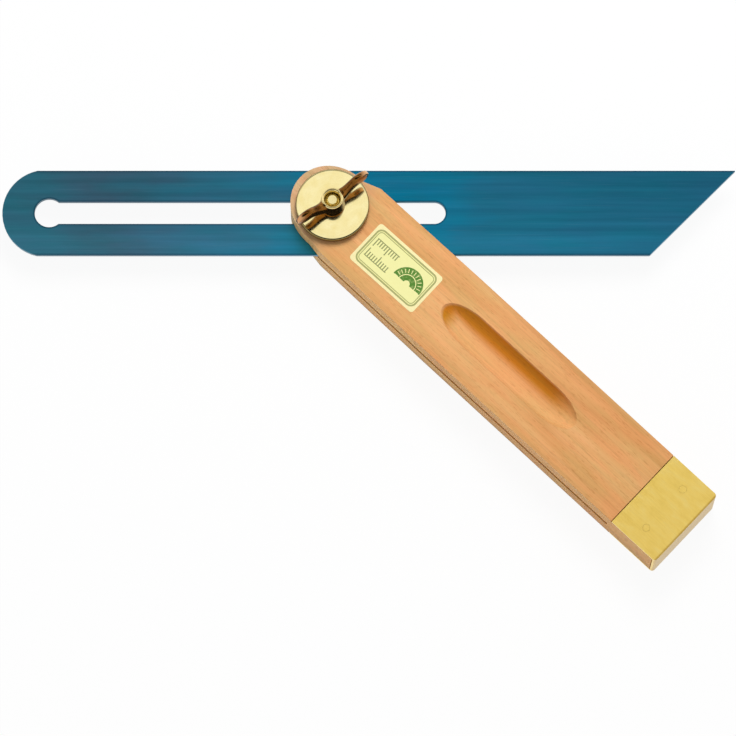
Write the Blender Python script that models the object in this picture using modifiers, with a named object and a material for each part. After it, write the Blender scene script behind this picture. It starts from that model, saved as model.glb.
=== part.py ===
"""A sliding bevel: beech stock, blued steel blade and a brass wing nut clamp.

The tool lies on its back. The origin is the pivot axis where it meets the plane
of the back face, +Z leaves the front face, and +X runs along the blade. The
stock is built along its own length and turned about the pivot to its setting.
"""

import math

import bmesh
import bpy
import numpy as np
from mathutils import Vector

# The blade, in metres and degrees
BLADE_LENGTH = 0.2500
BLADE_WIDTH = 0.0295
BLADE_THICKNESS = 0.0020
BLADE_HEEL = 0.1126  # from the pivot to the round end, as the blade is set
BLADE_TIP_ANGLE = 45.0
BLADE_END_EXTRA = 0.00035  # by which the end's radius passes half the width
BLADE_EDGE = 0.0002
SLOT_WIDTH = 0.0077
SLOT_REACH = 0.0385  # from the pivot to the slot's far end, as the blade is set
KEYHOLE_DIAMETER = 0.0100
KEYHOLE_INSET = 0.0160  # from the round end to the middle of the keyhole

# The stock
STOCK_ANGLE = 43.25  # between the stock and the blade
STOCK_REACH = 0.1626  # from the pivot to the butt
STOCK_WIDTH = 0.0309
STOCK_OFFSET = 0.0006  # from the bolt to the middle of the stock's width
FULL_WIDTH_REACH = 0.0550
SHOULDER_WIDTH = 0.0302
SHOULDER_REACH = 0.0078
HEAD_WIDTH = 0.0270
HEAD_REACH = 0.0150  # from the pivot to the end of the round head
FLARE_REACH = 0.0018
STOCK_THICKNESS = 0.0210
STOCK_ARRIS = 0.0006
STOCK_CORNER = 0.0012
SOLID_BUTT = 0.0215  # left unsawn behind the root of the saw cut
GROOVE_START = 0.0502
GROOVE_LENGTH = 0.0620
GROOVE_RADIUS = 0.0062
GROOVE_DEPTH = 0.0042
GROOVE_RUNOUT = 0.0140  # over which the cove's radius fades away at each end

# The cap and its rivets
CAP_LENGTH = 0.0198
CAP_SHEET = 0.0012
RIVET_DIAMETER = 0.0025
RIVET_SPACING = 0.0180

# The clamp
BOLT_DIAMETER = 0.0050
BOLT_TIP_DIAMETER = 0.0036
BOLT_TIP_HEIGHT = 0.0007
BOLT_RECESS = 0.0022  # how far the bolt's end lies below the top of the nut
COLLAR_DIAMETER = 0.0094
BOLT_HEAD_DIAMETER = 0.0144
BOLT_HEAD_RIM = 0.0004
WASHER_DIAMETER = 0.0250
FRONT_WASHER_THICKNESS = 0.0025
FRONT_WASHER_EDGE = 0.0008
BACK_WASHER_THICKNESS = 0.0030
BOSS_HEIGHT = 0.0093
BOSS_FOOT_DIAMETER = 0.0084
BOSS_FOOT = 0.0012
BOSS_TOP_DIAMETER = 0.0074
BOSS_EASE = 0.0003
NUT_TURN = 36.0  # between the wings and the blade
NUT_SPAN = 0.0294
NUT_HEIGHT = 0.0145
WING_LOBE_RADIUS = 0.0042
WING_ROOT_LOW = 0.0009
WING_ROOT_HIGH = 0.0086
WING_ROOT_THICKNESS = 0.0044
WING_THICKNESS = 0.0026

# Clearances
RUNNING = 0.0003  # between pieces that move on each other
SEAT = 0.0003  # between pieces that are fixed to each other
RIVET_FIT = 0.00005
WELD = 0.00001  # points closer than this are one point
OVERRUN = 0.0050  # how far a cutter passes what it cuts

# Numbers of sides and steps
ROUND_SIDES = 64
SMALL_SIDES = 32
ARC_STEP = 7.5
WING_STEPS = 10
WING_SIDES = 20

# Places worked out from the sizes above
MIDDLE = STOCK_THICKNESS / 2
BLADE_LOW = MIDDLE - BLADE_THICKNESS / 2
BLADE_HIGH = MIDDLE + BLADE_THICKNESS / 2
KERF_LOW = BLADE_LOW - RUNNING
KERF_HIGH = BLADE_HIGH + RUNNING
FRONT_WASHER_LOW = STOCK_THICKNESS + RUNNING
NUT_LOW = FRONT_WASHER_LOW + FRONT_WASHER_THICKNESS + RUNNING
BOLT_TOP = NUT_LOW + BOSS_HEIGHT - BOLT_RECESS
CAP_START = STOCK_REACH - CAP_LENGTH
KERF_REACH = STOCK_REACH - SOLID_BUTT
SHANK_HOLE = BOLT_DIAMETER / 2 + RUNNING
COLLAR_HOLE = COLLAR_DIAMETER / 2 + RUNNING


def new_collection(name):
    """A collection in the scene."""
    made = bpy.data.collections.new(name)
    bpy.context.scene.collection.children.link(made)
    return made


for old in list(bpy.data.objects):
    bpy.data.objects.remove(old, do_unlink=True)
PARTS = new_collection("sliding_bevel")
CUTTERS = new_collection("cutters")


def material(name, colour, roughness, metallic):
    """A Principled material."""
    made = bpy.data.materials.new(name)
    made.use_nodes = True
    shader = made.node_tree.nodes["Principled BSDF"]
    shader.inputs["Base Color"].default_value = (*colour, 1.0)
    shader.inputs["Roughness"].default_value = roughness
    shader.inputs["Metallic"].default_value = metallic
    return made


def axis_empty(name, height=0.0, turn=0.0):
    """An empty on the pivot axis, turned about it by an angle in degrees."""
    made = bpy.data.objects.new(name, None)
    made.location = (0, 0, height)
    made.rotation_euler = (0, 0, math.radians(turn))
    PARTS.objects.link(made)
    return made


def object_from(bm, name, collection):
    """A mesh object made from a bmesh, with its faces pointing out."""
    bmesh.ops.recalc_face_normals(bm, faces=bm.faces)
    mesh = bpy.data.meshes.new(name)
    bm.to_mesh(mesh)
    bm.free()
    made = bpy.data.objects.new(name, mesh)
    collection.objects.link(made)
    return made


def as_part(obj, look, parent):
    """Give a finished piece its material, its parent and smooth round faces."""
    obj.data.materials.append(look)
    obj.parent = parent
    obj.data.shade_smooth()
    obj.data.set_sharp_from_angle(angle=math.radians(35))
    return obj


def combine(obj, tool, operation="DIFFERENCE"):
    """Cut an object with a tool, or join the tool to it. The tool shares its parent."""
    tool.hide_render = True
    tool.display_type = "WIRE"
    tool.parent = obj.parent
    made = obj.modifiers.new(tool.name, "BOOLEAN")
    made.operation = operation
    made.solver = "EXACT"
    made.object = tool


def ease_edges(obj, width, segments):
    """Round the edges that are sharper than 40 degrees."""
    made = obj.modifiers.new("eased_edges", "BEVEL")
    made.limit_method = "ANGLE"
    made.angle_limit = math.radians(40)
    made.width = width
    made.segments = segments


def arc(centre, radius, start, end):
    """Points along an arc between two angles in degrees."""
    steps = max(2, math.ceil(abs(end - start) / ARC_STEP))
    turns = np.radians(np.linspace(start, end, steps + 1))
    return [(centre[0] + radius * math.cos(a), centre[1] + radius * math.sin(a)) for a in turns]


def plate(name, loops, low, high, collection):
    """A plate between two heights: the first loop is its outline, the others are openings."""
    curve = bpy.data.curves.new(name, "CURVE")
    curve.dimensions = "2D"
    curve.fill_mode = "BOTH"
    curve.extrude = (high - low) / 2
    for loop in loops:
        spline = curve.splines.new("POLY")
        spline.points.add(len(loop) - 1)
        for point, (x, y) in zip(spline.points, loop):
            point.co = (x, y, 0, 1)
        spline.use_cyclic_u = True
    drawn = bpy.data.objects.new(name + "_outline", curve)
    bpy.context.scene.collection.objects.link(drawn)
    graph = bpy.context.evaluated_depsgraph_get()
    filled = bpy.data.meshes.new_from_object(drawn.evaluated_get(graph))
    bpy.data.objects.remove(drawn, do_unlink=True)
    bm = bmesh.new()
    bm.from_mesh(filled)
    bpy.data.meshes.remove(filled)
    bmesh.ops.remove_doubles(bm, verts=bm.verts, dist=WELD)
    bmesh.ops.translate(bm, vec=(0, 0, (low + high) / 2), verts=bm.verts)
    return object_from(bm, name, collection)


def block(name, low, high):
    """A box-shaped cutter between two corners."""
    size = Vector(high) - Vector(low)
    bm = bmesh.new()
    bmesh.ops.create_cube(bm, size=1)
    bmesh.ops.scale(bm, vec=size, verts=bm.verts)
    bmesh.ops.translate(bm, vec=Vector(low) + size / 2, verts=bm.verts)
    return object_from(bm, name, CUTTERS)


def rod(name, radius, low, high, place, sides, collection):
    """A round rod along Z between two heights."""
    bm = bmesh.new()
    bmesh.ops.create_cone(
        bm, cap_ends=True, segments=sides, radius1=radius, radius2=radius, depth=high - low
    )
    bmesh.ops.translate(bm, vec=(*place, (low + high) / 2), verts=bm.verts)
    return object_from(bm, name, collection)


def drill(name, radius, low, high, place=(0, 0), sides=SMALL_SIDES):
    """A round cutter along Z between two heights."""
    return rod(name, radius, low, high, place, sides, CUTTERS)


def turned(name, profile, sides, collection, ring=False):
    """A turned body: its profile of radius and height runs down the outer side.

    A ring's profile goes back up the inner side and closes on itself.
    """
    count = len(profile)
    edges = [(i, (i + 1) % count) for i in range(count if ring else count - 1)]
    mesh = bpy.data.meshes.new(name)
    mesh.from_pydata([(radius, 0, height) for radius, height in profile], edges, [])
    made = bpy.data.objects.new(name, mesh)
    collection.objects.link(made)
    screw = made.modifiers.new("turned", "SCREW")
    screw.axis = "Z"
    screw.angle = math.tau
    screw.steps = sides
    screw.render_steps = sides
    screw.use_merge_vertices = True
    screw.merge_threshold = WELD
    return made


def butt_corner():
    """The eased corner of the butt, from its end face to its side."""
    side = STOCK_WIDTH / 2 - STOCK_CORNER
    return arc((STOCK_REACH - STOCK_CORNER, side), STOCK_CORNER, 0, 90)


def both_sides(upper, between=()):
    """An outline from its upper side, its end and its mirrored lower side, off the bolt's middle."""
    lower = [(x, STOCK_OFFSET - y) for x, y in reversed(upper)]
    return [(x, STOCK_OFFSET + y) for x, y in upper] + [*between] + lower


def stock_outline():
    """The stock in plan: parallel sides, a gentle taper, a short flare and an oval head."""
    half = HEAD_WIDTH / 2
    head = [(x * HEAD_REACH, y * half) for x, y in arc((0, 0), 1, 90, 270)]
    sides = [
        *butt_corner(),
        (FULL_WIDTH_REACH, STOCK_WIDTH / 2),
        (SHOULDER_REACH, SHOULDER_WIDTH / 2),
    ]
    return both_sides(sides, [(FLARE_REACH, half), *head, (FLARE_REACH, -half)])


def rivet_places():
    """Where the rivets stand, along the stock and across it."""
    along = CAP_START + CAP_LENGTH / 2
    return [(along, STOCK_OFFSET + side * RIVET_SPACING / 2) for side in (-1, 1)]


def drill_for_rivets(obj):
    """The two rivet holes through the butt or its cap."""
    radius = RIVET_DIAMETER / 2 + RIVET_FIT
    for i, place in enumerate(rivet_places()):
        name = f"{obj.name}_rivet_hole_{i}"
        combine(obj, drill(name, radius, -OVERRUN, STOCK_THICKNESS + OVERRUN, place))


def cut_kerf(stock):
    """The saw cut for the blade, open at the head and along both sides."""
    side = STOCK_WIDTH / 2 + OVERRUN
    low = (-HEAD_REACH - OVERRUN, -side, KERF_LOW)
    combine(stock, block("kerf", low, (KERF_REACH, side, KERF_HIGH)))


def cut_cap_rebates(stock):
    """The butt is thinned on both faces and shortened, for the cap to lie flush."""
    side = STOCK_WIDTH / 2 + OVERRUN
    depth = CAP_SHEET + SEAT
    start = CAP_START - SEAT
    end = STOCK_REACH + OVERRUN
    front = STOCK_THICKNESS + OVERRUN
    floor = STOCK_THICKNESS - depth
    combine(stock, block("front_rebate", (start, -side, floor), (end, side, front)))
    combine(stock, block("back_rebate", (start, -side, -OVERRUN), (end, side, depth)))
    combine(stock, block("end_rebate", (STOCK_REACH - depth, -side, -OVERRUN), (end, side, front)))


def cut_groove(stock):
    """The finger groove: a cove with long oval ends, cut by a rod that lies above the face."""
    quarter = arc((0, 0), 1, 0, 90)
    near = [(x * GROOVE_RADIUS, (1 - y) * GROOVE_RUNOUT) for x, y in quarter]
    far = [(x, GROOVE_LENGTH - y) for x, y in reversed(near)]
    cutter = turned("groove_cutter", far + near, ROUND_SIDES, CUTTERS)
    cutter.rotation_euler = (0, math.pi / 2, 0)
    cutter.location = (GROOVE_START, STOCK_OFFSET, STOCK_THICKNESS + GROOVE_RADIUS - GROOVE_DEPTH)
    combine(stock, cutter)


def build_stock(line, beech):
    """The stock: one piece of beech, sawn open, bored, grooved and rebated for its cap."""
    stock = plate("stock", [stock_outline()], 0, STOCK_THICKNESS, PARTS)
    as_part(stock, beech, line)
    ease_edges(stock, STOCK_ARRIS, 2)
    cut_kerf(stock)
    cut_cap_rebates(stock)
    cut_groove(stock)
    recess = WASHER_DIAMETER / 2 + SEAT
    floor = BACK_WASHER_THICKNESS + SEAT
    combine(stock, drill("washer_recess", recess, -OVERRUN, floor, sides=ROUND_SIDES))
    combine(stock, drill("collar_hole", COLLAR_HOLE, -OVERRUN, MIDDLE))
    combine(stock, drill("shank_hole", SHANK_HOLE, MIDDLE, STOCK_THICKNESS + OVERRUN))
    drill_for_rivets(stock)


def build_end_cap(line, brass):
    """The cap: brass sheet folded round the butt, with the wood left bare at its sides."""
    outline = both_sides([*butt_corner(), (CAP_START, STOCK_WIDTH / 2)])
    cap = plate("end_cap", [outline], 0, STOCK_THICKNESS, PARTS)
    as_part(cap, brass, line)
    ease_edges(cap, STOCK_ARRIS, 2)
    side = STOCK_WIDTH / 2 + OVERRUN
    low = (CAP_START - OVERRUN, -side, CAP_SHEET)
    high = (STOCK_REACH - CAP_SHEET, side, STOCK_THICKNESS - CAP_SHEET)
    combine(cap, block("cap_inside", low, high))
    drill_for_rivets(cap)


def build_cap_rivets(line, brass):
    """Two rivets through the cap and the butt, filed flush on both faces."""
    radius = RIVET_DIAMETER / 2
    for name, place in zip(("lower_cap_rivet", "upper_cap_rivet"), rivet_places()):
        as_part(rod(name, radius, 0, STOCK_THICKNESS, place, SMALL_SIDES, PARTS), brass, line)


def build_back_washer(axis, brass):
    """The back washer, let in flush and countersunk for the bolt's head."""
    rim = WASHER_DIAMETER / 2
    mouth = BOLT_HEAD_DIAMETER / 2 + RUNNING
    profile = [
        (COLLAR_HOLE, BACK_WASHER_THICKNESS),
        (rim, BACK_WASHER_THICKNESS),
        (rim, 0),
        (mouth, 0),
        (mouth, BOLT_HEAD_RIM),
        (COLLAR_HOLE, BOLT_HEAD_RIM + mouth - COLLAR_HOLE),
    ]
    as_part(turned("back_washer", profile, ROUND_SIDES, PARTS, ring=True), brass, axis)


def build_clamp_bolt(axis, brass):
    """The bolt: a countersunk head, a collar with two flats that guide the blade, a shank."""
    head = BOLT_HEAD_DIAMETER / 2
    collar = COLLAR_DIAMETER / 2
    shank = BOLT_DIAMETER / 2
    collar_top = BLADE_HIGH - RUNNING
    profile = [
        (0, BOLT_TOP),
        (BOLT_TIP_DIAMETER / 2, BOLT_TOP),
        (shank, BOLT_TOP - BOLT_TIP_HEIGHT),
        (shank, collar_top),
        (collar, collar_top),
        (collar, BOLT_HEAD_RIM + head - collar),
        (head, BOLT_HEAD_RIM),
        (head, 0),
        (0, 0),
    ]
    bolt = turned("clamp_bolt", profile, SMALL_SIDES, PARTS)
    as_part(bolt, brass, axis)
    flat = SLOT_WIDTH / 2 - RUNNING
    out = collar + OVERRUN
    high = BLADE_HIGH + OVERRUN
    combine(bolt, block("upper_flat", (-out, flat, KERF_LOW), (out, out, high)))
    combine(bolt, block("lower_flat", (-out, -out, KERF_LOW), (out, -flat, high)))


def build_blade(axis, steel):
    """The blade: a strip with a 45 degree end, a round end and a slot with a keyhole."""
    half = BLADE_WIDTH / 2
    tip = BLADE_LENGTH - BLADE_HEEL
    slope = BLADE_WIDTH / math.tan(math.radians(BLADE_TIP_ANGLE))
    radius = half + BLADE_END_EXTRA
    spread = math.degrees(math.asin(half / radius))
    round_end = arc((radius - BLADE_HEEL, 0), radius, 180 - spread, 180 + spread)
    outline = [(tip - slope, -half), (tip, half), *round_end]
    slot = SLOT_WIDTH / 2
    keyhole = KEYHOLE_DIAMETER / 2
    mouth = math.degrees(math.asin(slot / keyhole))
    opening = [
        *arc((SLOT_REACH - slot, 0), slot, -90, 90),
        *arc((KEYHOLE_INSET - BLADE_HEEL, 0), keyhole, mouth, 360 - mouth),
    ]
    blade = plate("blade", [outline, opening], BLADE_LOW, BLADE_HIGH, PARTS)
    as_part(blade, steel, axis)
    ease_edges(blade, BLADE_EDGE, 1)


def build_front_washer(axis, brass):
    """The loose front washer, with rounded edges."""
    high = FRONT_WASHER_LOW + FRONT_WASHER_THICKNESS
    corner = (WASHER_DIAMETER / 2 - FRONT_WASHER_EDGE, high - FRONT_WASHER_EDGE)
    upper = arc(corner, FRONT_WASHER_EDGE, 90, 0)[::3]
    lower = [(r, FRONT_WASHER_LOW + high - z) for r, z in reversed(upper)]
    profile = [(SHANK_HOLE, high), *upper, *lower, (SHANK_HOLE, FRONT_WASHER_LOW)]
    as_part(turned("front_washer", profile, ROUND_SIDES, PARTS, ring=True), brass, axis)


def wing(name, side):
    """One wing of the nut, lofted from flattened sections that stand across its length.

    Its upper and lower edges rise from the boss along half cosine waves to a
    round lobe, and then close round the lobe on a circle. The thickness falls
    from the root with the cube of what is left of the way to the lobe.
    """
    lobe = NUT_SPAN / 2 - WING_LOBE_RADIUS
    lobe_height = NUT_HEIGHT - WING_LOBE_RADIUS
    root = BOSS_TOP_DIAMETER / 4
    way = np.linspace(0, 1, WING_STEPS)[:-1]
    ease = (1 - np.cos(np.pi * way)) / 2
    high = WING_ROOT_HIGH + (NUT_HEIGHT - WING_ROOT_HIGH) * ease
    low = WING_ROOT_LOW + (lobe_height - WING_LOBE_RADIUS - WING_ROOT_LOW) * ease
    turn = np.radians(np.linspace(0, 85, WING_STEPS))
    along = np.concatenate([root + (lobe - root) * way, lobe + WING_LOBE_RADIUS * np.sin(turn)])
    middle = np.concatenate([(high + low) / 2, np.full(WING_STEPS, lobe_height)])
    half = np.concatenate([(high - low) / 2, WING_LOBE_RADIUS * np.cos(turn)])
    thicker = WING_ROOT_THICKNESS - WING_THICKNESS
    thick = WING_THICKNESS + thicker * np.concatenate([(1 - way) ** 3, np.zeros(WING_STEPS)])
    thick = thick / 2 * np.minimum(1, half / WING_LOBE_RADIUS) ** 0.4
    around = np.linspace(0, math.tau, WING_SIDES, endpoint=False)
    across = np.sign(np.cos(around)) * np.abs(np.cos(around)) ** 0.7
    up = np.sign(np.sin(around)) * np.abs(np.sin(around)) ** 0.7
    bm = bmesh.new()
    rings = []
    for x, t, m, h in zip(along, thick, middle, half):
        rings.append([bm.verts.new((side * x, t * a, m + h * u)) for a, u in zip(across, up)])
    for near, far in zip(rings, rings[1:]):
        for i in range(WING_SIDES):
            j = (i + 1) % WING_SIDES
            bm.faces.new((near[i], near[j], far[j], far[i]))
    bm.faces.new(rings[0])
    bm.faces.new(rings[-1])
    return object_from(bm, name, CUTTERS)


def build_wing_nut(axis, brass):
    """The wing nut: a tapered boss joined with two lofted wings, then bored."""
    foot = BOSS_FOOT_DIAMETER / 2
    top = BOSS_TOP_DIAMETER / 2
    profile = [
        (0, BOSS_HEIGHT),
        (top - BOSS_EASE, BOSS_HEIGHT),
        (top, BOSS_HEIGHT - BOSS_EASE),
        (foot, BOSS_FOOT),
        (foot, BOSS_EASE),
        (foot - BOSS_EASE, 0),
        (0, 0),
    ]
    nut = turned("wing_nut", profile, ROUND_SIDES, PARTS)
    as_part(nut, brass, axis)
    combine(nut, wing("right_wing", 1), "UNION")
    combine(nut, wing("left_wing", -1), "UNION")
    mouth = BOSS_HEIGHT - BOSS_EASE
    high = BOSS_HEIGHT + OVERRUN
    bore = [
        (0, high),
        (SHANK_HOLE + high - mouth, high),
        (SHANK_HOLE, mouth),
        (SHANK_HOLE, -OVERRUN),
        (0, -OVERRUN),
    ]
    combine(nut, turned("nut_bore", bore, SMALL_SIDES, CUTTERS))


def build_all():
    """Put the tool together."""
    beech = material("beech", (0.70, 0.42, 0.19), 0.55, 0.0)
    blued_steel = material("blued_steel", (0.03, 0.19, 0.27), 0.35, 0.9)
    brass = material("brass", (0.80, 0.58, 0.22), 0.30, 1.0)
    stock_line = axis_empty("stock_line", turn=-STOCK_ANGLE)
    pivot_axis = axis_empty("pivot_axis")
    nut_axis = axis_empty("nut_axis", NUT_LOW, NUT_TURN)
    build_stock(stock_line, beech)
    build_end_cap(stock_line, brass)
    build_cap_rivets(stock_line, brass)
    build_back_washer(pivot_axis, brass)
    build_clamp_bolt(pivot_axis, brass)
    build_blade(pivot_axis, blued_steel)
    build_front_washer(pivot_axis, brass)
    build_wing_nut(nut_axis, brass)


build_all()
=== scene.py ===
"""A sliding bevel on a white table: beech stock, blued steel blade, brass wing nut."""

import math

import bmesh
import bpy
import numpy as np
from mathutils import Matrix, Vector


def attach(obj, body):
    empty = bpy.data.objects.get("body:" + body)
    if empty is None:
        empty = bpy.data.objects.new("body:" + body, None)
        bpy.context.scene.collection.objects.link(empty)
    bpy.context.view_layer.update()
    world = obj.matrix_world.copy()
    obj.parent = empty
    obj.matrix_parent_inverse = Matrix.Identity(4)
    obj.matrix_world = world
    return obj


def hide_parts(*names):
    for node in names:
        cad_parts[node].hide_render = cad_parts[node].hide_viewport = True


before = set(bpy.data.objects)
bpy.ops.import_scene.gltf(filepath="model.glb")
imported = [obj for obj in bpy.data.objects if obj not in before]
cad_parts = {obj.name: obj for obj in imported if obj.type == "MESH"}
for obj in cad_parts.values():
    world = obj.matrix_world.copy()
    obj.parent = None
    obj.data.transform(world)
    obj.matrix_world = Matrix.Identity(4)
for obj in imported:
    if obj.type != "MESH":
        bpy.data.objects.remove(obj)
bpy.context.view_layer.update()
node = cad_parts


# The stock: one piece of beech, flat sawn, cove cut for the fingers and sawn open
# for the blade. It is finished with a thin satin lacquer, and its grain runs
# lengthwise, 43 degrees below the blade.

STOCK_SETTING = math.radians(43.25)
STOCK_REACH = 0.1626  # from the bolt to the butt
STOCK_FACE = 0.0210
STOCK_HALF = 0.0155
STOCK_OFFSET = 0.0006  # of its middle line from the bolt
GROOVE_START = 0.0490
GROOVE_FLOOR = 0.0160
GROOVE_HALF = 0.0072

# Each of these zones runs from where its tone sets in to where it is full.
SIDE_HEIGHT = (STOCK_FACE - 0.0001, STOCK_FACE - 0.0012)
WORN_ACROSS = (STOCK_HALF - 0.0030, STOCK_HALF)
WORN_ALONG = (0.005, 0.030)
HEAD_RING_RADIUS = (0.0118, 0.0126)
HEAD_RING_ALONG = (0.012, -0.002)
# The groove's painted shade lies within these three zones.
GROOVE_SHADE_ACROSS = (0.0002, 0.0036)
GROOVE_SHADE_START = (0.0590, 0.0530)
GROOVE_SHADE_END = (0.1110, 0.0960)

# Painted light: this tint makes the stock's sides lighter and yellower.
PAINTED_SIDE_LIGHT = (1.04, 1.08, 0.82)
WORN_TINT = (0.93, 0.91, 0.88)
HEAD_RING_TINT = (0.90, 1.08, 1.45)
# The tint of the groove's painted shade.
GROOVE_SHADE_TINT = (0.78, 0.54, 0.07)


def shade(red, green, blue):
    """A colour as it shows on a screen, from 0 to 255, turned into light."""
    return tuple((level / 255) ** 2.2 for level in (red, green, blue))


def grey(level):
    """A grey, also for a ramp that carries a number."""
    return (level, level, level)


def new_finish(name):
    """A material with its tree, its shader and the object's own coordinates."""
    made = bpy.data.materials.new(name)
    made.use_nodes = True
    tree = made.node_tree
    shader = tree.nodes["Principled BSDF"]
    coordinates = tree.nodes.new("ShaderNodeTexCoord").outputs["Object"]
    return made, tree, shader, coordinates


def feed(tree, value, socket):
    """Give a socket another socket, a number or a colour."""
    if isinstance(value, bpy.types.NodeSocket):
        tree.links.new(value, socket)
    else:
        socket.default_value = (*value, 1) if isinstance(value, tuple) else value


def calc(tree, operation, *values):
    """One step of arithmetic."""
    made = tree.nodes.new("ShaderNodeMath")
    made.operation = operation
    for value, socket in zip(values, made.inputs):
        feed(tree, value, socket)
    return made.outputs[0]


def axes(tree, vector):
    """The X, Y and Z of coordinates."""
    parts = tree.nodes.new("ShaderNodeSeparateXYZ")
    tree.links.new(vector, parts.inputs[0])
    return parts.outputs


def turned(tree, vector, angle):
    """Coordinates turned about Z."""
    made = tree.nodes.new("ShaderNodeMapping")
    made.inputs["Rotation"].default_value = (0, 0, angle)
    tree.links.new(vector, made.inputs["Vector"])
    return made.outputs["Vector"]


def stretched(tree, vector, scale, shift=(0, 0, 0)):
    """Coordinates scaled along X, Y and Z, then shifted."""
    made = tree.nodes.new("ShaderNodeMapping")
    made.inputs["Scale"].default_value = scale
    made.inputs["Location"].default_value = shift
    tree.links.new(vector, made.inputs["Vector"])
    return made.outputs["Vector"]


def noise(tree, vector, cells, detail=2.0, roughness=0.5, distortion=0.0, shift=(0, 0, 0)):
    """Noise from 0 to 1, with its cells counted to the metre along X, Y and Z."""
    made = tree.nodes.new("ShaderNodeTexNoise")
    made.inputs["Scale"].default_value = 1.0
    made.inputs["Detail"].default_value = detail
    made.inputs["Roughness"].default_value = roughness
    made.inputs["Distortion"].default_value = distortion
    tree.links.new(stretched(tree, vector, cells, shift), made.inputs["Vector"])
    return made.outputs["Fac"]


def ramp(tree, value, *stops):
    """Colours along a value: each stop is a place from 0 to 1 and a colour."""
    made = tree.nodes.new("ShaderNodeValToRGB")
    band = made.color_ramp
    while len(band.elements) < len(stops):
        band.elements.new(0.5)
    for element, (place, colour) in zip(band.elements, stops):
        element.position = place
        element.color = (*colour, 1)
    tree.links.new(value, made.inputs["Fac"])
    return made.outputs["Color"]


def span(tree, value, start, end, low=0.0, high=1.0):
    """A value taken smoothly from its start and end to a low and a high."""
    made = tree.nodes.new("ShaderNodeMapRange")
    made.interpolation_type = "SMOOTHSTEP"
    for level, socket in zip((value, start, end, low, high), made.inputs):
        feed(tree, level, socket)
    return made.outputs[0]


def blended(tree, amount, first, second, way="MIX"):
    """Two colours mixed by an amount."""
    made = tree.nodes.new("ShaderNodeMix")
    made.data_type = "RGBA"
    made.blend_type = way
    feed(tree, amount, made.inputs[0])
    feed(tree, first, made.inputs[6])
    feed(tree, second, made.inputs[7])
    return made.outputs[2]


def tinted(tree, amount, colour, tint):
    """A colour multiplied by a tint, as far as an amount says."""
    return blended(tree, amount, colour, tint, "MULTIPLY")


def overlap(tree, *masks):
    """Where all the masks hold: their product."""
    held = masks[0]
    for mask in masks[1:]:
        held = calc(tree, "MULTIPLY", held, mask)
    return held


def either(tree, first, second):
    """Where one of two masks holds: the larger of them."""
    return calc(tree, "MAXIMUM", first, second)


def hypotenuse(tree, first, second):
    """How far a point lies from a place: the root of two squares added."""
    squares = [calc(tree, "MULTIPLY", side, side) for side in (first, second)]
    return calc(tree, "SQRT", calc(tree, "ADD", *squares))


def bump(tree, shader, height, depth):
    """Fine relief of a real depth in metres."""
    made = tree.nodes.new("ShaderNodeBump")
    made.inputs["Distance"].default_value = depth
    tree.links.new(height, made.inputs["Height"])
    tree.links.new(made.outputs["Normal"], shader.inputs["Normal"])


def dress(name, finish):
    """Give a solid of the frame its finish."""
    node[name].data.materials.clear()
    node[name].data.materials.append(finish)


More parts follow.
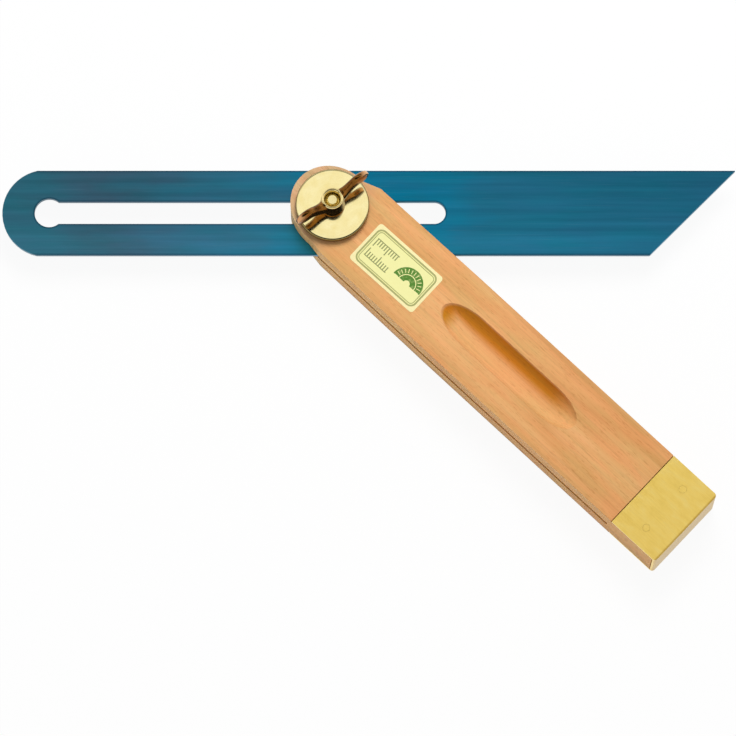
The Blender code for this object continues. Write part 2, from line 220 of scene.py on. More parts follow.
def beech():
    """Beech: rosy and straw tints, growth rings, fine fibres and short ray flecks.

    It is painted darker and more saturated towards the butt, a painted falloff of light,
    and its sides are painted lighter and yellower, which is painted light. Its long edges
    are worn. It is paler and cooler round the head. The groove's far wall and near end
    are darker and amber there: painted shade.
    """
    made, tree, shader, where = new_finish("beech")
    lie = turned(tree, where, STOCK_SETTING)
    bands = noise(tree, lie, (12, 120, 120), 3.0, 0.6, 0.4)
    colour = ramp(
        tree,
        bands,
        (0.30, shade(214, 158, 101)),
        (0.48, shade(226, 171, 114)),
        (0.72, shade(235, 185, 129)),
    )
    tint = noise(tree, lie, (55, 260, 260), shift=(3, 1, 7))
    tints = ramp(tree, tint, (0.35, (1.05, 0.96, 0.94)), (0.65, (0.96, 1.02, 0.97)))
    colour = tinted(tree, 1.0, colour, tints)
    rings = noise(tree, lie, (5, 620, 300), 1.0, 0.4, 0.3)
    ring_lines = ramp(tree, rings, (0.46, grey(1.0)), (0.50, grey(0.90)), (0.54, grey(1.0)))
    colour = tinted(tree, 0.8, colour, ring_lines)
    fibres = noise(tree, lie, (60, 2600, 2600), 4.0, 0.7)
    fibre_tones = ramp(tree, fibres, (0.3, grey(0.82)), (0.7, grey(1.12)))
    colour = tinted(tree, 0.38, colour, fibre_tones)
    rays = noise(tree, lie, (420, 3600, 260), 1.0)
    flecks = ramp(tree, rays, (0.61, grey(1.0)), (0.68, (0.76, 0.64, 0.54)))
    colour = tinted(tree, 0.50, colour, flecks)

    along, across, height = axes(tree, lie)
    # Painted falloff of light: lighter at the head, darker and more saturated towards the butt.
    light_falloff = span(tree, along, 0.0, STOCK_REACH)
    light_falloff_tones = blended(tree, light_falloff, (1.04, 1.03, 1.02), (0.96, 0.89, 0.82))
    colour = tinted(tree, 1.0, colour, light_falloff_tones)
    below = span(tree, height, *SIDE_HEIGHT)
    middle = calc(tree, "LESS_THAN", calc(tree, "ABSOLUTE", across), GROOVE_HALF)
    side = overlap(tree, below, calc(tree, "SUBTRACT", 1.0, middle))
    # Painted light: the sides are tinted lighter and yellower than the face.
    colour = tinted(tree, side, colour, PAINTED_SIDE_LIGHT)
    out = calc(tree, "ABSOLUTE", calc(tree, "SUBTRACT", across, STOCK_OFFSET))
    worn = overlap(tree, span(tree, out, *WORN_ACROSS), span(tree, along, *WORN_ALONG))
    colour = tinted(tree, worn, colour, WORN_TINT)
    # Paler and cooler in a band round the head, from about the washer's rim outwards.
    ring = span(tree, hypotenuse(tree, along, across), *HEAD_RING_RADIUS)
    head_ring = overlap(tree, ring, span(tree, along, *HEAD_RING_ALONG))
    colour = tinted(tree, head_ring, colour, HEAD_RING_TINT)

    # Painted shade: the groove's far wall and near end are darkened and made amber.
    wall = either(tree, span(tree, across, *GROOVE_SHADE_ACROSS), span(tree, along, *GROOVE_SHADE_START))
    groove_shade = overlap(tree, below, middle, wall, span(tree, along, *GROOVE_SHADE_END))
    over_floor = calc(tree, "GREATER_THAN", height, GROOVE_FLOOR)
    past_start = calc(tree, "GREATER_THAN", along, GROOVE_START)
    groove_shade = overlap(tree, groove_shade, over_floor, past_start)
    colour = tinted(tree, groove_shade, colour, GROOVE_SHADE_TINT)
    tree.links.new(colour, shader.inputs["Base Color"])
    shader.inputs["Roughness"].default_value = 0.52
    shader.inputs["Specular IOR Level"].default_value = 0.25
    bump(tree, shader, fibres, 0.00005)
    return made


dress("stock", beech())


# The end cap: brass sheet folded round the butt and let in flush. It was filed
# level with the wood, left unpolished and has dulled.

# Where the painted shade at the butt's end sets in and is full, and its tint.
BUTT_SHADE_ALONG = (STOCK_REACH - 0.0009, STOCK_REACH - 0.0002)
BUTT_SHADE_TINT = (0.64, 0.57, 0.42)


def dull_brass():
    """Filed brass sheet: lengthwise file marks under a patchy skin, with painted shade at the
    butt's end.
    """
    made, tree, shader, where = new_finish("cap_brass")
    shader.inputs["Metallic"].default_value = 0.8
    lie = turned(tree, where, STOCK_SETTING)
    patches = noise(tree, lie, (170, 420, 420), 4.0, 0.62)
    colour = ramp(
        tree,
        patches,
        (0.28, shade(246, 209, 103)),
        (0.50, shade(254, 218, 113)),
        (0.74, shade(255, 224, 129)),
    )
    marks = noise(tree, lie, (120, 5200, 5200), 3.0, 0.6)
    mark_tones = ramp(tree, marks, (0.3, grey(0.88)), (0.7, grey(1.06)))
    colour = tinted(tree, 0.5, colour, mark_tones)
    # Painted shade: the cap is darker at the butt's end face.
    butt = span(tree, axes(tree, lie)["X"], *BUTT_SHADE_ALONG)
    colour = tinted(tree, butt, colour, BUTT_SHADE_TINT)
    tree.links.new(colour, shader.inputs["Base Color"])
    shader.inputs["Roughness"].default_value = 0.32
    bump(tree, shader, marks, 0.0000010)
    return made


cap_brass = dull_brass()
dress("end_cap", cap_brass)


# The cap's two rivets: brass wire put through cap and stock, headed over in
# countersinks and filed level, so that they hardly show.

dress("lower_cap_rivet", cap_brass)
dress("upper_cap_rivet", cap_brass)


# The sticker: cream paper glued on the stock below the washer. It is printed with
# a double border, two short rulers and a protractor fan in green.

STICKER_LENGTH = 0.0288
STICKER_WIDTH = 0.0163
STICKER_CORNER = 0.0012
STICKER_CORNER_POINTS = 9
STICKER_TOP = 0.00008  # over the stock's face
STICKER_GLUE = 0.00002
STICKER_PLACE = (0.02159, -0.02140)
STICKER_SETTING = math.radians(42.4)
WELD = 0.000001  # points closer than this are one point

# The print is drawn in millimetres from the sticker's middle.
MILLIMETRES = 1000
BORDER_CORNER = 3.4  # the border is rounded about a rectangle this far in
BORDER_OUTER = (1.80, 2.40)  # from that rectangle
BORDER_INNER = (1.20, 1.50)
FAN_CENTRE = (6.2, -1.8)
FAN_RADIUS = 5.8
FAN_HOLE = 1.2
FAN_GAP = (3.1, 3.4)
FAN_STEP = math.radians(15)
SPOKE_SPAN = (3.8, 5.2)
SPOKE_SHARE = 0.11  # of a step, to each side
RULER_SPAN = (-11.4, -1.6)
RULER_LINES = ((-3.6, 1.0), (3.4, -1.0))  # where each lies, and the way its ticks point
RULER_EDGE = (-0.3, 0.0)  # its edge line, below the feet of the ticks
TICK_START = -11.3
TICK_WIDTH = 0.38
TICK_LENGTH = 1.9
TICK_MORE = 1.1  # for each fifth tick
TICK_FIVE = 5


def skin(name, points, finish, loop=False, crease=35):
    """A closed skin over rows of points, where each row joins the next and runs round.

    With loop, the last row joins the first. Rows drawn together into one point
    close the ends.
    """
    rows, columns = points.shape[:2]
    index = np.arange(rows * columns).reshape(rows, columns)
    if loop:
        index = np.vstack([index, index[:1]])
    beside = np.roll(index, -1, axis=1)
    faces = np.stack([index[:-1], beside[:-1], beside[1:], index[1:]], axis=-1).reshape(-1, 4)
    mesh = bpy.data.meshes.new(name)
    mesh.from_pydata(points.reshape(-1, 3).tolist(), [], faces.tolist())
    work = bmesh.new()
    work.from_mesh(mesh)
    bmesh.ops.remove_doubles(work, verts=work.verts, dist=WELD)
    bmesh.ops.recalc_face_normals(work, faces=work.faces)
    work.to_mesh(mesh)
    work.free()
    mesh.shade_smooth()
    mesh.set_sharp_from_angle(angle=math.radians(crease))
    mesh.materials.append(finish)
    piece = bpy.data.objects.new(name, mesh)
    bpy.context.scene.collection.objects.link(piece)
    return piece


def between(tree, value, low, high):
    """1 where a value lies between two others, and 0 elsewhere."""
    over = calc(tree, "GREATER_THAN", value, low)
    under = calc(tree, "LESS_THAN", value, high)
    return overlap(tree, over, under)


def border_reach(tree, along, across):
    """How far a point lies from the rectangle that the border is rounded about."""
    past = []
    for value, size in ((along, STICKER_LENGTH), (across, STICKER_WIDTH)):
        inner = MILLIMETRES * size / 2 - BORDER_CORNER
        beyond = calc(tree, "SUBTRACT", calc(tree, "ABSOLUTE", value), inner)
        past.append(calc(tree, "MAXIMUM", beyond, 0.0))
    return hypotenuse(tree, *past)


def fan_print(tree, along, across):
    """The fan: a half disc with a spoke each 15 degrees, cut at two radii."""
    right = calc(tree, "SUBTRACT", along, FAN_CENTRE[0])
    above = calc(tree, "SUBTRACT", across, FAN_CENTRE[1])
    radius = hypotenuse(tree, right, above)
    turn = calc(tree, "DIVIDE", calc(tree, "ARCTAN2", above, right), FAN_STEP)
    off_spoke = calc(tree, "ABSOLUTE", calc(tree, "SUBTRACT", turn, calc(tree, "ROUND", turn)))
    on_spoke = calc(tree, "LESS_THAN", off_spoke, SPOKE_SHARE)
    spoke = overlap(tree, on_spoke, between(tree, radius, *SPOKE_SPAN))
    hole = calc(tree, "LESS_THAN", radius, FAN_HOLE)
    blank = either(tree, either(tree, spoke, hole), between(tree, radius, *FAN_GAP))
    half = calc(tree, "GREATER_THAN", above, 0.0)
    disc = overlap(tree, half, calc(tree, "LESS_THAN", radius, FAN_RADIUS))
    return overlap(tree, disc, calc(tree, "SUBTRACT", 1.0, blank))


def rulers_print(tree, along, across):
    """The rulers: an edge line with a tick each millimetre and a longer one each five."""
    counted = calc(tree, "SUBTRACT", along, TICK_START)
    tick = calc(tree, "LESS_THAN", calc(tree, "FRACT", counted), TICK_WIDTH)
    fives = calc(tree, "FRACT", calc(tree, "DIVIDE", counted, TICK_FIVE))
    more = calc(tree, "MULTIPLY", calc(tree, "LESS_THAN", fives, 1 / TICK_FIVE), TICK_MORE)
    length = calc(tree, "ADD", more, TICK_LENGTH)
    strokes = 0.0
    for line, way in RULER_LINES:
        height = calc(tree, "MULTIPLY", calc(tree, "SUBTRACT", across, line), way)
        ticks = overlap(tree, tick, between(tree, height, RULER_EDGE[0], length))
        ruler = either(tree, ticks, between(tree, height, *RULER_EDGE))
        strokes = either(tree, strokes, ruler)
    return overlap(tree, between(tree, along, *RULER_SPAN), strokes)


def printed_paper():
    """Cream paper with its print, which is drawn by formula and slightly rubbed."""
    made, tree, shader, where = new_finish("printed_paper")
    x, y = STICKER_PLACE
    cos, sin = math.cos(STICKER_SETTING), math.sin(STICKER_SETTING)
    middle = (-MILLIMETRES * (x * cos - y * sin), -MILLIMETRES * (x * sin + y * cos), 0)
    lie = stretched(tree, turned(tree, where, STICKER_SETTING), (MILLIMETRES,) * 3, middle)
    along, across, _ = axes(tree, lie)
    reach = border_reach(tree, along, across)
    border = either(tree, between(tree, reach, *BORDER_OUTER), between(tree, reach, *BORDER_INNER))
    rulers = rulers_print(tree, along, across)
    fan = fan_print(tree, along, across)

    fibres = noise(tree, where, (2500,) * 3, 3.0)
    paper = ramp(tree, fibres, (0.3, shade(244, 231, 166)), (0.7, shade(250, 240, 184)))
    inside = calc(tree, "LESS_THAN", reach, BORDER_OUTER[1])
    colour = blended(tree, calc(tree, "MULTIPLY", inside, 0.6), paper, shade(236, 238, 158))
    colour = blended(tree, calc(tree, "MULTIPLY", border, 0.8), colour, shade(140, 142, 82))
    colour = blended(tree, calc(tree, "MULTIPLY", rulers, 0.85), colour, shade(104, 116, 66))
    rubbed = noise(tree, where, (900,) * 3, 3.0)
    left = ramp(tree, rubbed, (0.35, grey(0.8)), (0.5, grey(1.0)))
    colour = blended(tree, overlap(tree, left, fan), colour, shade(82, 130, 46))
    tree.links.new(colour, shader.inputs["Base Color"])
    shader.inputs["Roughness"].default_value = 0.45
    bump(tree, shader, fibres, 0.000008)
    return made


def sticker_points():
    """Rows of a rounded rectangle: low middle, low edge, high edge and high middle."""
    quarter = np.linspace(0, math.pi / 2, STICKER_CORNER_POINTS)
    turn = np.concatenate([quarter + k * math.pi / 2 for k in range(4)])
    side = np.repeat([[1, 1], [-1, 1], [-1, -1], [1, -1]], len(quarter), axis=0)
    inner = np.array([STICKER_LENGTH, STICKER_WIDTH]) / 2 - STICKER_CORNER
    flat = side * inner + STICKER_CORNER * np.stack([np.cos(turn), np.sin(turn)], axis=-1)
    cos, sin = math.cos(STICKER_SETTING), math.sin(STICKER_SETTING)
    flat = flat @ np.array([[cos, -sin], [sin, cos]])
    rows = []
    for scale, lift in ((0, STICKER_GLUE), (1, STICKER_GLUE), (1, STICKER_TOP), (0, STICKER_TOP)):
        height = np.full(len(flat), STOCK_FACE + lift)
        rows.append(np.column_stack([STICKER_PLACE + scale * flat, height]))
    return np.array(rows)


sticker = skin("paper_sticker", sticker_points(), printed_paper())
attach(sticker, "stock_body")


# The back washer: turned brass, let in flush at the back of the stock, and
# countersunk for the bolt's head.

# Below the washer's face: where its tarnish and painted dark reflection set in and are full, and
# their share.
TARNISH_AND_REFLECTION_DROP = (0.00002, 0.00022)  # below the face: where it sets in and is full
TARNISH_AND_REFLECTION_SHARE = 0.94


def turned_brass(name, roughness, face=None):
    """Polished brass with the fine rings of turning: noise of the distance from the axis.

    Below a face, where one is given, it is painted dark: tarnish, and a painted dark reflection of
    the wood round it.
    """
    made, tree, shader, where = new_finish(name)
    shader.inputs["Metallic"].default_value = 1.0
    x, y, height = axes(tree, where)
    lie = tree.nodes.new("ShaderNodeCombineXYZ")
    feed(tree, hypotenuse(tree, x, y), lie.inputs["X"])
    feed(tree, height, lie.inputs["Z"])
    rings = noise(tree, lie.outputs["Vector"], (4200,) * 3, 2.0, 0.6)
    handled = noise(tree, where, (260,) * 3, 4.0, 0.6)
    colour = ramp(tree, handled, (0.3, shade(246, 227, 156)), (0.7, shade(254, 240, 180)))
    ring_tones = ramp(tree, rings, (0.3, grey(0.93)), (0.7, grey(1.03)))
    colour = tinted(tree, 0.5, colour, ring_tones)
    if face is not None:
        # Painted dark reflection together with tarnish: the brass below the face is darkened.
        start, end = (face - drop for drop in TARNISH_AND_REFLECTION_DROP)
        tarnish_and_reflection = span(tree, height, start, end, 0.0, TARNISH_AND_REFLECTION_SHARE)
        colour = blended(tree, tarnish_and_reflection, colour, shade(104, 78, 20))
    tree.links.new(colour, shader.inputs["Base Color"])
    shader.inputs["Roughness"].default_value = roughness
    bump(tree, shader, rings, 0.0000012)
    return made


dress("back_washer", turned_brass("back_washer_brass", 0.2))


# The clamp bolt: turned brass. A countersunk head bears in the back washer, a
# collar with two flats guides the blade's slot, and an M5 thread takes the nut.

HEAD_RADIUS = 0.0072
HEAD_RIM = 0.0004
COLLAR_RADIUS = 0.0047
FLATS_LOW = 0.0092
FLATS_HIGH = 0.0112
FLAT = 0.00355  # from the axis to a flat
SHANK_RADIUS = 0.0025
THREAD_LOW = 0.0165
THREAD_PITCH = 0.0008
THREAD_DEPTH = 0.00045
BOLT_TOP = 0.0312
BOLT_END_RADIUS = 0.0015
BOLT_CHAMFER = 0.0010
BOLT_SIDES = 96
BOLT_THREAD_ROWS = 300


def revolved(radius, height, sides):
    """Rows of points: radii and heights carried round the bolt's axis."""
    turn = np.linspace(0, math.tau, sides, endpoint=False)
    radius = np.asarray(radius)
    radius = radius if radius.ndim == 2 else np.tile(radius[:, None], (1, sides))
    height = np.tile(np.asarray(height)[:, None], (1, sides))
    return np.stack([radius * np.cos(turn), radius * np.sin(turn), height], axis=-1)


def thread(radius, height, sides, depth):
    """Radii of a thread: a triangle wave of the height less the turn, cut to a depth."""
    turn = np.linspace(0, 1, sides, endpoint=False)
    phase = (height[:, None] / THREAD_PITCH - turn) % 1
    return radius - depth * np.abs(2 * phase - 1)


def bolt_points():
    """The bolt from the middle of its head to the middle of its end.

    Its end chamfer limits the thread to a cone. The flats limit how far its collar
    reaches across.
    """
    collar_low = HEAD_RIM + HEAD_RADIUS - COLLAR_RADIUS
    plain_radius = np.array([0, HEAD_RADIUS, HEAD_RADIUS, COLLAR_RADIUS, COLLAR_RADIUS])
    plain_height = np.array([0, 0, HEAD_RIM, collar_low, FLATS_LOW])
    collar = revolved(plain_radius, plain_height, BOLT_SIDES)
    guide = revolved([COLLAR_RADIUS] * 2, [FLATS_LOW, FLATS_HIGH], BOLT_SIDES)
    guide[..., 1] = np.clip(guide[..., 1], -FLAT, FLAT)
    shank = revolved([SHANK_RADIUS] * 2, [FLATS_HIGH, THREAD_LOW], BOLT_SIDES)
    rise = np.linspace(THREAD_LOW, BOLT_TOP, BOLT_THREAD_ROWS)
    fade = np.clip((rise - THREAD_LOW) / THREAD_PITCH, 0, 1)[:, None]
    cut = thread(SHANK_RADIUS, rise, BOLT_SIDES, THREAD_DEPTH)
    cone = BOLT_END_RADIUS + (SHANK_RADIUS - BOLT_END_RADIUS) * (BOLT_TOP - rise) / BOLT_CHAMFER
    radius = np.minimum(SHANK_RADIUS + fade * (cut - SHANK_RADIUS), cone[:, None])
    screw = revolved(radius, rise, BOLT_SIDES)
    end = revolved([0], [BOLT_TOP], BOLT_SIDES)
    return np.concatenate([collar, guide, shank, screw, end])


bolt = skin("turned_bolt", bolt_points(), turned_brass("bolt_brass", 0.24))
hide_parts("clamp_bolt")
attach(bolt, "bolt_body")


# The blade: spring steel strip, ground lengthwise and blued. The colour of the
# bluing drifts along it, and its edges are darker.

BLADE_START = -0.1126
BLADE_END = 0.1374
BLADE_HALF = 0.01475
SLOT_HALF = 0.00385
SLOT_END = 0.03465  # to the middle of its round end
KEYHOLE_PLACE = -0.0966
KEYHOLE_RADIUS = 0.0050
RIM_WIDTH = 0.0008  # of the dark rim along every edge
RIM_FULL = 0.0002  # from the edge to where it is fully dark
DRIFT_SHARE = 0.15  # of the length, by which clouds move the colour to either side


def blued_steel():
    """Blued steel: drifting teal and blue, a painted sheen across it, grinding streaks, dark
    edges, fine scratches.

    The edges are found by how far a point lies from the slot's middle line, from the
    keyhole's middle and from the blade's middle line.
    """
    made, tree, shader, where = new_finish("blued_steel")
    shader.inputs["Metallic"].default_value = 1.0
    x, y, _ = axes(tree, where)
    clouds = noise(tree, where, (36, 110, 110), 3.0, 0.55)
    wander = calc(tree, "MULTIPLY_ADD", clouds, 2 * DRIFT_SHARE, -DRIFT_SHARE)
    way = calc(tree, "DIVIDE", calc(tree, "SUBTRACT", x, BLADE_START), BLADE_END - BLADE_START)
    colour = ramp(
        tree,
        calc(tree, "ADD", way, wander),
        (0.03, shade(58, 118, 138)),
        (0.14, shade(66, 107, 127)),
        (0.34, shade(56, 126, 154)),
        (0.50, shade(24, 138, 176)),
        (0.66, shade(44, 124, 154)),
        (0.95, shade(42, 115, 144)),
    )
    tint = noise(tree, where, (42, 170, 170), shift=(9, 4, 2))
    tints = ramp(tree, tint, (0.35, (1.18, 0.98, 1.02)), (0.65, (0.87, 1.02, 0.99)))
    colour = tinted(tree, 1.0, colour, tints)
    # Painted sheen: the blade is lighter towards its edge at low Y and darker towards the edge at
    # high Y.
    across = ramp(
        tree,
        calc(tree, "DIVIDE", calc(tree, "ADD", y, BLADE_HALF), 2 * BLADE_HALF),
        (0.00, grey(1.15)),
        (0.14, grey(1.22)),
        (0.30, grey(1.04)),
        (0.75, grey(0.95)),
        (1.00, grey(0.90)),
    )
    colour = tinted(tree, 1.0, colour, across)
    streaks = noise(tree, where, (11, 420, 420), 5.0, 0.6)
    streak_tones = ramp(tree, streaks, (0.3, grey(0.80)), (0.7, grey(1.20)))
    colour = tinted(tree, 0.7, colour, streak_tones)
    scratches = noise(tree, where, (45, 9000, 9000))
    bright = ramp(tree, scratches, (0.68, grey(0.0)), (0.76, grey(0.25)))
    colour = blended(tree, bright, colour, shade(120, 160, 176))

    rim = span(tree, calc(tree, "ABSOLUTE", y), BLADE_HALF - RIM_WIDTH, BLADE_HALF - RIM_FULL)
    before = calc(tree, "SUBTRACT", KEYHOLE_PLACE, x)
    beyond = calc(tree, "MAXIMUM", before, calc(tree, "SUBTRACT", x, SLOT_END))
    past_slot = calc(tree, "MAXIMUM", beyond, 0.0)
    for past, radius in ((past_slot, SLOT_HALF), (before, KEYHOLE_RADIUS)):
        away = hypotenuse(tree, past, y)
        rim = either(tree, rim, span(tree, away, radius + RIM_WIDTH, radius + RIM_FULL))
    colour = blended(tree, calc(tree, "MULTIPLY", rim, 0.5), colour, shade(14, 52, 74))
    tree.links.new(colour, shader.inputs["Base Color"])
    shader.inputs["Roughness"].default_value = 0.36
    bump(tree, shader, streaks, 0.00001)
    return made


dress("blade", blued_steel())


# The front washer: a loose disc turned from brass, with slightly rounded edges and a
# dark rim, partly tarnish and partly a painted dark reflection. It turns with the wing nut on the
# lacquered wood.

WASHER_LOW = 0.0213
WASHER_HIGH = 0.0238
WASHER_RADIUS = 0.0125
WASHER_EDGE = 0.0007
WASHER_HOLE = 0.0028
WASHER_SIDES = 192
WASHER_EDGE_POINTS = 7


def washer_points():
    """The washer's section, carried round: two rounded outer corners and a hole."""
    turn = np.radians(np.linspace(90, 0, WASHER_EDGE_POINTS))
    radius = WASHER_RADIUS - WASHER_EDGE + WASHER_EDGE * np.cos(turn)
    lift = WASHER_EDGE * (np.sin(turn) - 1)
    radii = np.concatenate([[WASHER_HOLE], radius, radius[::-1], [WASHER_HOLE]])
    top = np.concatenate([[WASHER_HIGH], WASHER_HIGH + lift])
    bottom = WASHER_LOW + WASHER_HIGH - top[::-1]
    return revolved(radii, np.concatenate([top, bottom]), WASHER_SIDES)


washer_brass = turned_brass("front_washer_brass", 0.10, WASHER_HIGH)
washer = skin("turned_washer", washer_points(), washer_brass, loop=True)
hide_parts("front_washer")
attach(washer, "washer_body")


# The wing nut: cast in brass and polished. Its tapered boss is threaded M5, and its
# two wings rise to round lobes for finger and thumb.

NUT_LOW = 0.0241
NUT_TURN = math.radians(36)
NUT_SPAN = 0.0294
NUT_HEIGHT = 0.0145
LOBE_RADIUS = 0.0042
BOSS_HEIGHT = 0.0093
BOSS_FOOT_RADIUS = 0.0042
BOSS_FOOT = 0.0012
BOSS_TOP_RADIUS = 0.0037
BOSS_EASE = 0.0003
BORE_RADIUS = 0.0030
BORE_CREST = 0.00262
BORE_ROWS = 120
WING_START = 0.0031  # inside the boss's wall
ROOT_LOW = 0.0009
ROOT_HIGH = 0.0086
ROOT_THICKNESS = 0.0044
WING_THICKNESS = 0.0026
WING_ROWS = 39
LOBE_ROWS = 30
RING_POINTS = 48
OVAL_POWER = 0.7
LOBE_POWER = 0.4
NUT_VOXEL = 0.00016

# Where the nut's tones set in and where they are full.
LOBE_ACROSS = (0.0012, 0.0005)
LOBE_ALONG = (0.0110, 0.0140)
BOSS_BRIGHT = (NUT_LOW + BOSS_HEIGHT - 0.0006, NUT_LOW + BOSS_HEIGHT - 0.0002)
BORE_BRIGHT = BORE_RADIUS + 0.0002


def boss_points():
    """The boss: its tapered outside with eased edges, and inside it the thread."""
    outside = [
        (BORE_RADIUS + BOSS_EASE, 0),
        (BOSS_FOOT_RADIUS - BOSS_EASE, 0),
        (BOSS_FOOT_RADIUS, BOSS_EASE),
        (BOSS_FOOT_RADIUS, BOSS_FOOT),
        (BOSS_TOP_RADIUS, BOSS_HEIGHT - BOSS_EASE),
        (BOSS_TOP_RADIUS - BOSS_EASE, BOSS_HEIGHT),
        (BORE_RADIUS + BOSS_EASE / 2, BOSS_HEIGHT),
    ]
    radius, height = np.array(outside).T
    shell = revolved(radius, height, BOLT_SIDES)
    fall = np.linspace(BOSS_HEIGHT - BOSS_EASE, BOSS_EASE, BORE_ROWS)
    cut = thread(BORE_RADIUS, fall, BOLT_SIDES, BORE_RADIUS - BORE_CREST)
    return np.concatenate([shell, revolved(cut, fall, BOLT_SIDES)])


def wing_points(side):
    """One wing: flattened rings that stand across its length.

    Its edges rise from the boss along half cosine waves to a round lobe and close
    round it on a circle. The thickness falls from the root with the cube of what is
    left of the way, and at the lobe's end with a power of the ring's height. Each ring
    is an oval whose cosine and sine are raised to a power.
    """
    lobe = NUT_SPAN / 2 - LOBE_RADIUS
    lobe_height = NUT_HEIGHT - LOBE_RADIUS
    way = np.linspace(0, 1, WING_ROWS, endpoint=False)
    ease = (1 - np.cos(math.pi * way)) / 2
    high = ROOT_HIGH + (NUT_HEIGHT - ROOT_HIGH) * ease
    low = ROOT_LOW + (lobe_height - LOBE_RADIUS - ROOT_LOW) * ease
    turn = np.linspace(0, math.pi / 2, LOBE_ROWS)
    root_part = WING_START + (lobe - WING_START) * way
    along = np.concatenate([root_part, lobe + LOBE_RADIUS * np.sin(turn)])
    middle = np.concatenate([(high + low) / 2, np.full(LOBE_ROWS, lobe_height)])
    half = np.concatenate([(high - low) / 2, LOBE_RADIUS * np.cos(turn)])
    taper = np.concatenate([(1 - way) ** 3, np.zeros(LOBE_ROWS)])
    thick = (WING_THICKNESS + (ROOT_THICKNESS - WING_THICKNESS) * taper) / 2
    thick = thick * np.clip(half / LOBE_RADIUS, 0, 1) ** LOBE_POWER
    around = np.linspace(0, math.tau, RING_POINTS, endpoint=False)
    across = np.sign(np.cos(around)) * np.abs(np.cos(around)) ** OVAL_POWER
    up = np.sign(np.sin(around)) * np.abs(np.sin(around)) ** OVAL_POWER
    x = np.tile(side * along[:, None], (1, RING_POINTS))
    rings = np.stack([x, np.outer(thick, across), middle[:, None] + np.outer(half, up)], axis=-1)
    start = np.tile(rings[:1].mean(axis=1, keepdims=True), (1, RING_POINTS, 1))
    return np.concatenate([start, rings])


def seated(points):
    """Points of the nut turned about the bolt and set down on the washer."""
    cos, sin = math.cos(NUT_TURN), math.sin(NUT_TURN)
    flat = points[..., :2] @ np.array([[cos, sin], [-sin, cos]])
    return np.concatenate([flat, points[..., 2:] + NUT_LOW], axis=-1)


def cast_brass():
    """Cast brass, brown with age and rubbed bright where fingers reach, with painted light on
    both.

    It is bright on the boss's top and in its thread, coppery on the lobes' edges,
    which lie near the wings' middle plane, and brown on the flanks. The coppery edges are
    partly rubbing and partly a painted highlight, and the brown flanks are partly patina
    and partly a painted dark reflection of the room.
    """
    made, tree, shader, where = new_finish("cast_brass")
    shader.inputs["Metallic"].default_value = 1.0
    patches = noise(tree, where, (240,) * 3, 3.0, 0.5)
    # The coppery lobe edges are rubbing and a painted highlight. The brown flanks are patina and a
    # painted dark reflection.
    coppery = ramp(tree, patches, (0.35, shade(204, 142, 96)), (0.65, shade(236, 190, 140)))
    brown = ramp(tree, patches, (0.35, shade(98, 60, 26)), (0.65, shade(150, 102, 48)))
    along, across, height = axes(tree, turned(tree, where, -NUT_TURN))
    edge = span(tree, calc(tree, "ABSOLUTE", across), *LOBE_ACROSS)
    lobes = overlap(tree, edge, span(tree, calc(tree, "ABSOLUTE", along), *LOBE_ALONG))
    radius = hypotenuse(tree, along, across)
    boss = calc(tree, "LESS_THAN", radius, BOSS_TOP_RADIUS)
    top = overlap(tree, boss, span(tree, height, *BOSS_BRIGHT))
    bright = either(tree, top, calc(tree, "LESS_THAN", radius, BORE_BRIGHT))
    colour = blended(tree, bright, blended(tree, lobes, brown, coppery), shade(252, 230, 160))
    tree.links.new(colour, shader.inputs["Base Color"])
    shader.inputs["Roughness"].default_value = 0.22
    bump(tree, shader, noise(tree, where, (500,) * 3), 0.000006)
    return made


nut_brass = cast_brass()
nut = skin("cast_wing_nut", seated(boss_points()), nut_brass, loop=True)
wings = [skin(f"wing_{side}", seated(wing_points(side)), nut_brass) for side in (1, -1)]
with bpy.context.temp_override(active_object=nut, selected_editable_objects=[nut, *wings]):
    bpy.ops.object.join()
fuse = nut.modifiers.new("fuse", "REMESH")
fuse.mode = "VOXEL"
fuse.voxel_size = NUT_VOXEL
fuse.use_smooth_shade = True
soften = nut.modifiers.new("soften", "SMOOTH")
soften.factor = 0.5
soften.iterations = 5
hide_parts("wing_nut")
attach(nut, "nut_body")


# The table: a white sheet that the tool lies on. The camera, metal and glass see
# it as pure white, apart from a faint shadow.

TABLE_SIZE = 6
TABLE_GAP = 0.0002  # under the tool, so that their faces don't coincide
TABLE_WHITE = 0.92
TABLE_GLOW = 0.93


def lit_share(tree):
    """1 for rays that the camera, metal or glass send, and 0 for the others."""
    ray = tree.nodes.new("ShaderNodeLightPath").outputs
    seen = either(tree, ray["Is Camera Ray"], ray["Is Glossy Ray"])
    return either(tree, seen, ray["Is Transmission Ray"])


def white_table():
    """White paper that glows towards the camera and keeps a faint shadow."""
    made = bpy.data.materials.new("white_table")
    made.use_nodes = True
    tree = made.node_tree
    tree.nodes.clear()
    paper = tree.nodes.new("ShaderNodeBsdfDiffuse")
    feed(tree, grey(TABLE_WHITE), paper.inputs["Color"])
    glow = tree.nodes.new("ShaderNodeEmission")
    both = tree.nodes.new("ShaderNodeMixShader")
    feed(tree, calc(tree, "MULTIPLY", lit_share(tree), TABLE_GLOW), both.inputs["Fac"])
    tree.links.new(paper.outputs[0], both.inputs[1])
    tree.links.new(glow.outputs[0], both.inputs[2])
    out = tree.nodes.new("ShaderNodeOutputMaterial")
    tree.links.new(both.outputs[0], out.inputs["Surface"])
    return made


bpy.ops.mesh.primitive_plane_add(size=TABLE_SIZE)
table = bpy.context.object
table.name = "table"
table.location = (0, 0, -TABLE_GAP)
table.data.materials.append(white_table())


# The light: a white room with a big soft lamp over its far side. Metal sees a white
# screen overhead and the white table, and a dark ceiling on the camera's side.

ROOM_LIGHT = 0.42
DARK_CEILING = 0.015

# Bounds of the screen and of the room's low part, by the Y and Z of a direction.
SCREEN_NEAR = (-0.02, 0.10)
SCREEN_FAR = (0.55, 0.38)
LOW_PART = (0.70, 0.45)


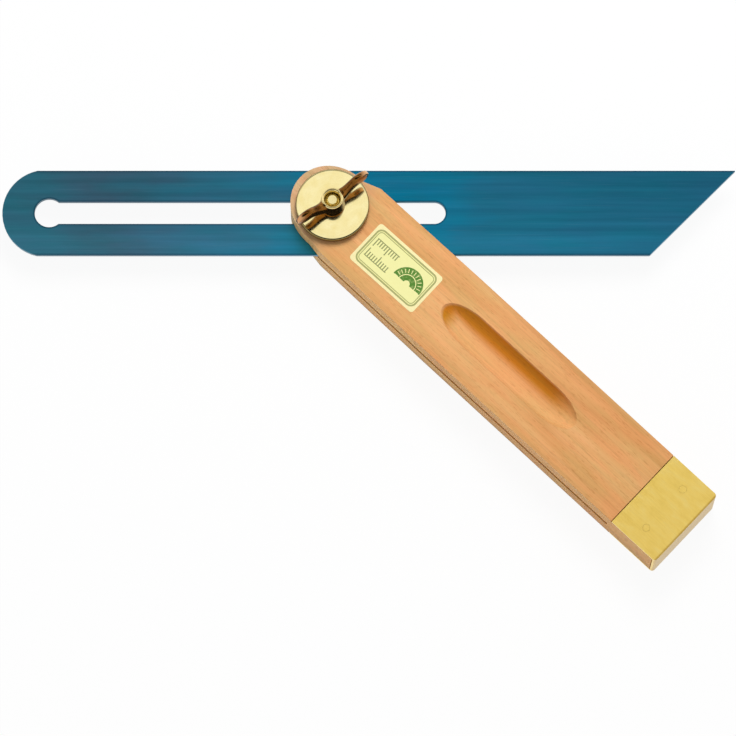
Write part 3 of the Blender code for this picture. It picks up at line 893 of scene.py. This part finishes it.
def studio():
    """The room: even light for matt surfaces, a white screen and a dark ceiling for metal."""
    world = bpy.data.worlds.new("studio")
    world.use_nodes = True
    tree = world.node_tree
    direction = tree.nodes.new("ShaderNodeTexCoord").outputs["Generated"]
    _, y, z = axes(tree, direction)
    screen = overlap(tree, span(tree, y, *SCREEN_NEAR), span(tree, y, *SCREEN_FAR))
    bright = either(tree, screen, span(tree, z, *LOW_PART))
    seen = blended(tree, bright, grey(DARK_CEILING), grey(1.0))
    ray = tree.nodes.new("ShaderNodeLightPath").outputs
    seen = blended(tree, ray["Is Camera Ray"], seen, grey(1.0))
    tone = blended(tree, lit_share(tree), grey(ROOM_LIGHT), seen)
    tree.links.new(tone, tree.nodes["Background"].inputs["Color"])
    bpy.context.scene.world = world


def softbox(name, place, target, size, power):
    """A square lamp that faces its target and lights matt surfaces only."""
    data = bpy.data.lights.new(name, "AREA")
    data.shape = "SQUARE"
    data.size = size
    data.energy = power
    made = bpy.data.objects.new(name, data)
    bpy.context.scene.collection.objects.link(made)
    made.location = place
    aim = Vector(target) - Vector(place)
    made.rotation_euler = aim.to_track_quat("-Z", "Y").to_euler()
    made.visible_glossy = False


studio()
softbox("overhead", place=(0.12, 0.42, 0.80), target=(0.02, -0.03, 0), size=0.45, power=6.3)
softbox("fill", place=(-0.35, -0.60, 0.22), target=(0.05, -0.06, 0), size=0.40, power=0.4)


# The camera: a long lens, about 12 degrees off square to the blade.

VIEW_WIDTH = 0.2495
VIEW_DISTANCE = 2.1
VIEW_ELEVATION = math.radians(78.3)
VIEW_TARGET = Vector((0.01203, -0.0540, 0.0115))

camera_data = bpy.data.cameras.new("camera")
camera = bpy.data.objects.new("camera", camera_data)
bpy.context.scene.collection.objects.link(camera)
back = Vector((0, -math.cos(VIEW_ELEVATION), math.sin(VIEW_ELEVATION)))
camera.location = VIEW_TARGET + VIEW_DISTANCE * back
camera.rotation_euler = (math.pi / 2 - VIEW_ELEVATION, 0, 0)
camera_data.lens = camera_data.sensor_width * VIEW_DISTANCE / VIEW_WIDTH
camera_data.clip_end = 20
bpy.context.scene.camera = camera
bpy.context.scene.view_settings.view_transform = "Standard"
